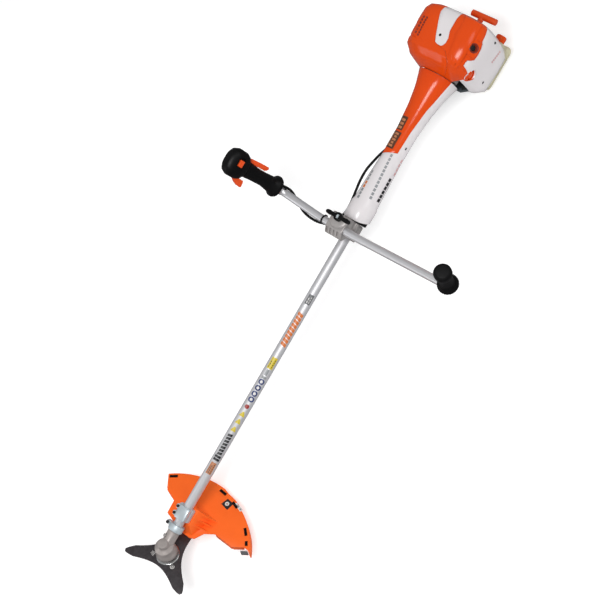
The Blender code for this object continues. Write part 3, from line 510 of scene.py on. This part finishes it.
# ------------------------------------------------------------------ tube decals
def tube_marks():
    """Generic stand-ins for the tube's labels: blocks, triangles, a dot, rings and rows of bars."""
    place = round_tube(TUBE_R, math.radians(62), 9)
    triangles = [[(x - 7, -8), (x - 7, 8), (x + 7, 2.2), (x + 7, -2.2)] for x in (377, 402, 425)]
    groups = [
        ("ink_copper", [block(233, 269, 8)]),
        ("ink_yellow", triangles),
        ("ink_red", disc((449, 0), 6.5)),
        ("ink_grey", [block(538, 545, 6.5), block(549, 567, 4)]),
        ("ink_yellow", [block(570, 605, 8)]),
        ("ink_slate", [block(775, 805, 7.5)]),
    ]
    marks("tube_marks", "machine", place, groups)

    fine = list(bars(236, 266, -5.5, -3.5, 5)) + list(bars(236, 262, 0, 2, 4))
    fine += list(bars(237, 258, 4, 5.5, 5))
    fine += list(bars(574, 601, -5.5, -3.5, 4)) + list(bars(574, 596, 3, 5, 3))
    bold = list(bars(276, 294, -9, 9, 2, 0.25)) + list(bars(296, 364, -6.5, 6.5, 7, 0.25, -2.5))
    groups = [
        ("ink_black", fine),
        ("ink_black", bold),
        ("ink_orange", list(bars(641, 746, -8.5, 8.5, 9, 0.2, 5))),
        ("ink_pale", list(bars(779, 801, -4, -2, 3)) + list(bars(779, 797, 2, 4, 2))),
    ]
    marks("tube_bars", "machine", raised(place), groups)

    centres = [(x, 0) for x in (472, 490, 509, 528)]
    rings = [("ink_blue", [part for centre in centres for part in disc(centre, 8.6, 4.4, 12)])]
    rings.append(("ink_pale", [part for centre in centres for part in disc(centre, 4.3, 1.6, 8)]))
    marks("tube_rings", "machine", place, rings)


# ------------------------------------------------------- marks on curved covers
def round_cover(tree):
    """Places (s, angle in degrees) points by dropping them towards the tube's axis."""

    def place(point, height):
        turn = math.radians(point.y)
        out = Vector((0, math.cos(turn), math.sin(turn)))
        hit, facing, _, _ = tree.ray_cast(world(point.x, 0, 0) + out * 0.2, -out, 0.2)
        if hit is None:
            return world(point.x, 0, 0) + out * 0.05
        if facing.dot(out) < 0:
            facing = -facing
        return hit + facing * height

    return place


def quad(s0, s1, a0, a1, skew=0.0):
    """A label between two distances and two angles, its far end shifted by skew degrees."""
    return [(s0, a0), (s0, a1), (s1, a1 + skew), (s1, a0 + skew)]


def neck_marks():
    """Rows of blocks and two dark plates on the neck, in place of its lettering."""
    place = round_cover(surface_of("neck_lower", "neck_upper"))
    left = [quad(1106 + 11 * k, 1114.5 + 11 * k, 104 + k * 1.6, 117 + k * 1.6) for k in range(8)]
    centre = [quad(1119 + 11.5 * k, 1127.5 + 11.5 * k, 49 + k * 1.5, 61 + k * 1.5) for k in range(12)]
    right = [quad(1123 + 12.5 * k, 1133 + 12.5 * k, 2, 21, -1) for k in range(6)]
    pink = [quad(1207 + 13 * k, 1217 + 13 * k, -10 + k, 4 + k) for k in range(4)]
    groups = [
        ("ink_grey", left[0:3] + left[5:]),
        ("ink_orange", left[3:5]),
        ("ink_grey", centre),
        ("ink_black", right + [quad(1282, 1289, 17, 26)]),
        ("ink_pink", pink),
        ("ink_brown", [quad(1266, 1317, 84, 146), quad(1322, 1362, 92, 143)]),
    ]
    marks("neck_marks", "machine", place, groups)

    lines = [quad(1271 + 9 * k, 1277 + 9 * k, 94 + 3 * (k % 2), 120 - 5 * (k % 2), 2) for k in range(5)]
    lines += [quad(1272 + 10 * k, 1279 + 10 * k, 126, 136) for k in range(4)]
    lines += [quad(1326 + 11 * k, 1333 + 11 * k, 100, 126) for k in range(3)]
    marks("neck_lines", "machine", raised(place), [("ink_copper", lines)])


def cover_marks_and_vent_shade():
    """Dark red-brown rows on the hood, which are painted shade in place of its vent slots, and one row of
    pale red blocks on the side cover.
    """
    place = round_cover(surface_of("engine_hood", "filter_cover"))
    # The hood rows are painted shade: dark sheets where the vent slots are.
    hood = [quad(1557 + 7.2 * k, 1562.5 + 7.2 * k, 117, 119.2, 0.5) for k in range(8)]
    hood += [quad(1562 + 9 * k, 1568 + 9 * k, 121.6, 124.4, 0.5) for k in range(6)]
    red = [quad(1601 + 7 * k, 1605.5 + 7 * k, -9 - 1.1 * k, -13.5 - 1.1 * k, -0.8) for k in range(6)]
    marks("cover_marks_and_vent_shade", "machine", place, [("painted_shade_maroon", hood), ("ink_pink", red)])


def guard_label():
    """A dark diamond with a ring in it, and a pale patch beside it."""
    place = on_head("guard", GUARD_H)
    diamond = [(198, 32), (221, 37), (219, 61), (194, 59)]
    patch = [(222, 62), (229, 68), (221, 96), (212, 92)]
    marks("guard_label", "machine", place, [("ink_black", [diamond]), ("ink_pale", [patch])])

    middle = sum((Vector(corner) for corner in diamond), Vector((0, 0))) / 4
    core = [tuple(middle + (Vector(corner) - middle) * 0.2) for corner in diamond]
    ring = list(disc((208, 46), 6.6, 2.6, 8))
    ticks = [[(221, 70), (225, 72), (222, 82), (218, 80)], [(217, 84), (221, 86), (219, 92), (215, 90)]]
    groups = [("ink_pale", ring), ("ink_copper", [core]), ("ink_grey", ticks)]
    marks("guard_label_lines", "machine", raised(place), groups)


def blade_marks():
    """A ring and three rows of bars, in place of what is stamped on the blade."""
    place = on_head("blade", BLADE_TOP)
    ring = list(disc((-20, 36), 6.5, 4.8)) + list(bars(-22.6, -17, 34, 38, 2))
    rows = list(bars(-29, -15, -35, -32.5, 4)) + list(bars(-28, -16, -39.5, -37, 3))
    rows += list(bars(-27, -17, -43.5, -41.5, 3))
    marks("blade_marks", "spindle", place, [("ink_pale", ring + rows)], 4 * MM)


# ------------------------------------------------------------- small real parts, and a ring of painted shade in the port
def screw_in(bm, origin, out, radius):
    """A pan-head screw with a socket, its underside at the origin."""
    head = 1.2
    socket = head * 0.25
    profile = [(radius * 0.5, -2.5), (radius, -0.2), (radius, head * 0.5), (radius * 0.82, head)]
    profile += [(radius * 0.5, head), (radius * 0.42, socket), (0, socket), (0, -2.5)]
    turned(bm, axes(origin, out, BACK), profile, 16)


def cover_screws():
    """Two screws in the engine's covers and a larger one at the front of the white strip."""
    place = round_cover(surface_of("filter_cover", "top_strip", "engine_hood", "fan_shroud"))
    spots = [(place(Vector((s, angle)), 0.4 * MM), angle, 3.8) for s, angle in ((1644, 10), (1546, -21))]
    spots.append((world(1583, 0, 115.4), 90, 5.2))
    bm = bmesh.new()
    for foot, angle, radius in spots:
        turn = math.radians(angle)
        screw_in(bm, foot, Vector((0, math.cos(turn), math.sin(turn))), radius)
    new_piece("cover_screws", bm, [LOOKS["black_steel"]], "machine")


def port_insert_and_shade():
    """The dark button in the port of the shroud's raised frame, with a dark red-brown ring of painted shade
    over the port's sloping wall and rim.
    """
    port = axes(world(1592, 93, 93), Vector((0, 0.77, 0.64)), BACK)
    bm = bmesh.new()
    button = [(0, -4), (7.9, -4), (7.9, -0.6), (7.2, 0.2), (4.4, 0.6), (3.6, -0.4), (0, -0.6)]
    turned(bm, port, button, 24)
    # This ring is painted shade: a dark red-brown sheet over the recess's wall and rim.
    ring = [(10.6, 3.8), (13.2, 4.3), (13.4, 5.2), (12.4, 5.9), (11.2, 5.7), (8.4, 2.0), (8.3, 0.9)]
    turned(bm, port, ring, 32, 1)
    new_piece("port_insert_and_shade", bm, [LOOKS["black_steel"], INKS_AND_SHADE["painted_shade_maroon"]], "machine")


def guard_inserts():
    """Black plugs that fill the slots along the guard's rim; the last one is short."""
    bm = bmesh.new()
    for angle, half in ((-38, 11.7), (3, 11.7), (17, 11.7), (40, 11.7), (49, 6.7)):
        turn = math.radians(angle)
        out = HEAD_REAR * math.cos(turn) + LEFT * math.sin(turn)
        bevelled_box(bm, axes(GEAR, SPINDLE, out), (224.8, -half, -11.6), (232.2, half, -7.3), 0.5)
    new_piece("guard_inserts", bm, [LOOKS["black"]], "machine")


def knob_liner():
    """An orange sleeve in the recess of the cover's knob, and the raised pad round its rear half."""
    bm = bmesh.new()
    sleeve = [(14.2, 81.3), (15.75, 81.3), (15.75, 99), (15.2, 99.6), (14.4, 99)]
    turned(bm, axes(world(1536, 0, 38), LEFT, BACK), sleeve, 40)
    place = onto(surface_of("filter_cover"), world(1536, 60, 38), LEFT, BACK)
    steps, start, sweep = 14, 75, 190
    for k in range(steps):
        t0, t1 = (math.radians(start + sweep * (k + j) / steps) for j in (0, 1))
        edge = ((16.2, t0), (20, t0), (20, t1), (16.2, t1))
        corners = [Vector((r * math.cos(t), r * math.sin(t))) for r, t in edge]
        sheet_on(bm, place, corners, 0, 0.1 * MM, 1.1 * MM)
    bmesh.ops.remove_doubles(bm, verts=bm.verts, dist=SAME_POINT)
    new_piece("knob_liner", bm, [LOOKS["orange"]], "machine")


def knob_bolt():
    """The bolt end that shows in the middle of the wing knob."""
    top = axes(world(1033, 0, 100.5), UP, BACK)
    bm = bmesh.new()
    turned(bm, top, [(0, -3), (3.9, -3), (3.9, 2.0), (3.3, 2.8), (0, 2.8)], 12)
    bevelled_box(bm, top, (-5.2, -5.2, -0.1), (5.2, 5.2, 1.0), 0.3)
    new_piece("knob_bolt", bm, [LOOKS["pale_alloy"]], "knob")


def starter_ribs():
    """Raised ribs and a centre boss on the back of the recoil starter, with gaps beside the handle."""
    bm = bmesh.new()
    matrix = axes(world(1670.2, 0, 0), BACK, UP)
    turned(bm, matrix, [(0, -0.4), (15, -0.4), (15, 1.2), (13.5, 2.2), (0, 2.2)], 32)
    count = 18
    for k in range(count):
        if k in (4, 5, 13):
            continue
        turn = Matrix.Rotation(2 * math.pi * (k + 0.5) / count, 4, "Z")
        bevelled_box(bm, matrix @ turn, (19, -1.3, -0.4), (54, 1.3, 1.1), 0.5)
    new_piece("starter_ribs", bm, [LOOKS["orange"]], "machine")


def tank_seam():
    """The welded flange that runs round the fuel tank."""
    centre = world(1611, 6.5, -112)
    half_x, half_y, rounding = 65.0, 86.5, 12.0
    proud, sunk = 1.6, 0.6
    outer, inner = [], []
    for sx, sy, start in ((1, 1, 0), (-1, 1, 90), (-1, -1, 180), (1, -1, 270)):
        cx, cy = sx * (half_x - rounding), sy * (half_y - rounding)
        for k in range(7):
            t = math.radians(start + 15 * k)
            for ring, reach in ((outer, rounding + proud), (inner, rounding - sunk)):
                ring.append((cx + reach * math.cos(t), cy + reach * math.sin(t)))
    bm = bmesh.new()
    layers = []
    for ring, z in ((inner, -1.1), (outer, -0.8), (outer, 0.8), (inner, 1.1)):
        layers.append([bm.verts.new(centre + Vector((x * MM, y * MM, z * MM))) for x, y in ring])
    join_rings(bm, layers, len(outer))
    new_piece("tank_seam", bm, [LOOKS["tank"]], "machine")


def tie_outline(reach, half):
    """An outline drawn tight round the cable, which lies at reach, and round what it is tied to."""

    def outline(t):
        c, n = math.cos(t), math.sin(t)
        if c < 0:
            return half * c, half * n
        return reach * c, (half + (CABLE_TIE_R - half) * c * c) * n

    return outline


def cable_tie(name, matrix, outline):
    """A flat band that follows the outline, with a small lock block on it."""
    width, thickness, steps = 5.0, 1.1, 28
    section = ((0, -width / 2), (thickness, -width / 2), (thickness, width / 2), (0, width / 2))
    bm = bmesh.new()
    rings = []
    for k in range(steps):
        point = Vector(outline(2 * math.pi * k / steps))
        out = point.normalized()
        spots = [((point + out * reach) * MM, z * MM) for reach, z in section]
        rings.append([bm.verts.new(matrix @ Vector((*flat, z))) for flat, z in spots])
    join_rings(bm, rings, len(section))
    x, y = outline(math.pi / 2)
    lock = matrix @ Matrix.Translation((x * MM, y * MM, 0))
    bevelled_box(bm, lock, (-3, 0.2, -3.4), (3, 3.4, 3.4), 0.6)
    new_piece(name, bm, [LOOKS["black"]], "machine")


def cable_ties():
    """Ties that hold the throttle cable to its grip, to the right arm of the bar and to the neck."""
    grip_end = HANDLE @ Vector((0, 0, -0.012))
    cable_there = HANDLE @ Vector((0.0135, -0.0115, -0.012))
    ties = [
        (grip_end, cable_there, HANDLE_DIR, BAR_TIE_R),
        (world(1008, -47, 74), world(1002, -47, 47), LEFT, BAR_TIE_R),
        (world(1080, -36.5, -6.7), world(1080, -43.5, -8), BACK, CABLE_TIE_R),
    ]
    for k, (held, cable, run, half) in enumerate(ties):
        matrix = axes(held, run, cable - held)
        reach = (cable - held).dot(matrix.col[0].to_3d()) / MM + 4.3  # to the cable's far side
        cable_tie(f"cable_tie_{k}", matrix, tie_outline(reach, half))


def starter_rope():
    """The rope between the starter and the pull handle."""
    bm = bmesh.new()
    radius, length = 1.5, 14.5
    heights = [0.01 + z * 0.999 for z in (0, 4, 8, 12, length)]
    profile = [(0, 0)] + [(radius, height) for height in heights] + [(0, length)]
    turned(bm, axes(world(1641, 21, 0), BACK, UP), profile, 10)
    rope = new_piece("starter_rope", bm, [LOOKS["rubber"]], None)
    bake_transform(rope)


tube_marks()
neck_marks()
cover_marks_and_vent_shade()
guard_label()
blade_marks()
cover_screws()
port_insert_and_shade()
guard_inserts()
knob_liner()
cable_ties()
starter_rope()
knob_bolt()
starter_ribs()
tank_seam()


# ---------------------------------------------------------- stage, light, camera
def floor():
    """A wide sheet of pale paper; glossy covers don't mirror it, so they keep their colour at the edges."""
    reach = 60
    below = -0.5 * MM
    corners = [(-reach, -reach, below), (reach, -reach, below), (reach, reach, below), (-reach, reach, below)]
    mesh = bpy.data.meshes.new("floor")
    mesh.from_pydata(corners, [], [(0, 1, 2, 3)])
    sheet = bpy.data.objects.new("floor", mesh)
    SCENE.collection.objects.link(sheet)
    look = Look("floor_paper")
    tone = look.ramp(look.noise(1.2, 2.0), [(0.2, 0.68), (0.8, 0.70)])
    look.set(Base_Color=tone, Roughness=0.8, Emission_Color=(1.0, 1.0, 1.0), Emission_Strength=0.5)
    mesh.materials.append(look.material)
    sheet.visible_glossy = False


def sky():
    """A grey room that is brighter overhead."""
    room = bpy.data.worlds.new("studio")
    room.use_nodes = True
    tree = room.node_tree
    back = tree.nodes["Background"]
    coords = tree.nodes.new("ShaderNodeTexCoord").outputs["Generated"]
    split = tree.nodes.new("ShaderNodeSeparateXYZ")
    tree.links.new(coords, split.inputs[0])
    ramp = tree.nodes.new("ShaderNodeValToRGB")
    tree.links.new(split.outputs[2], ramp.inputs[0])
    low, high = ramp.color_ramp.elements
    low.position, low.color = 0.0, (0.5, 0.5, 0.52, 1)
    high.position, high.color = 0.8, (1.0, 1.0, 1.0, 1)
    tree.links.new(ramp.outputs[0], back.inputs[0])
    back.inputs[1].default_value = 0.42
    SCENE.world = room


def lamps():
    """Three soft round lamps: the key overhead, a fill behind the engine and a rim by the blade."""
    middle = Vector((0.7, 0, 0.15))
    for name, place, size, power in (
        ("key", (0.4, 0.9, 3.3), 1.3, 70),
        ("fill", (-2.0, 1.8, 2.2), 1.8, 22),
        ("rim", (2.6, -1.8, 1.3), 1.4, 12),
    ):
        lamp = bpy.data.lights.new(name, "AREA")
        lamp.shape = "DISK"
        lamp.size = size
        lamp.energy = power
        obj = bpy.data.objects.new(name, lamp)
        obj.location = middle + Vector(place)
        obj.rotation_euler = (-Vector(place)).to_track_quat("-Z", "Y").to_euler()
        SCENE.collection.objects.link(obj)
    SCENE.view_settings.view_transform = "Standard"


def camera():
    """Looks down from the user's left, with the tube rising to the right of the picture."""
    target = Vector((0.8053, -0.0193, 0.1653))
    toward = Vector((-0.0454, 0.4716, 0.8806)).normalized()
    distance = 3.6
    tube_rise = math.radians(59.74)
    flat = (BACK - toward * BACK.dot(toward)).normalized()
    across = toward.cross(flat)
    right = flat * math.cos(tube_rise) - across * math.sin(tube_rise)
    rot = Matrix((right, toward.cross(right), toward)).transposed().to_4x4()
    lens = bpy.data.cameras.new("photo_view")
    lens.lens = 78.5
    lens.sensor_width = 36
    obj = bpy.data.objects.new("photo_view", lens)
    obj.matrix_world = Matrix.Translation(target + toward * distance) @ rot
    SCENE.collection.objects.link(obj)
    SCENE.camera = obj


floor()
sky()
lamps()
camera()
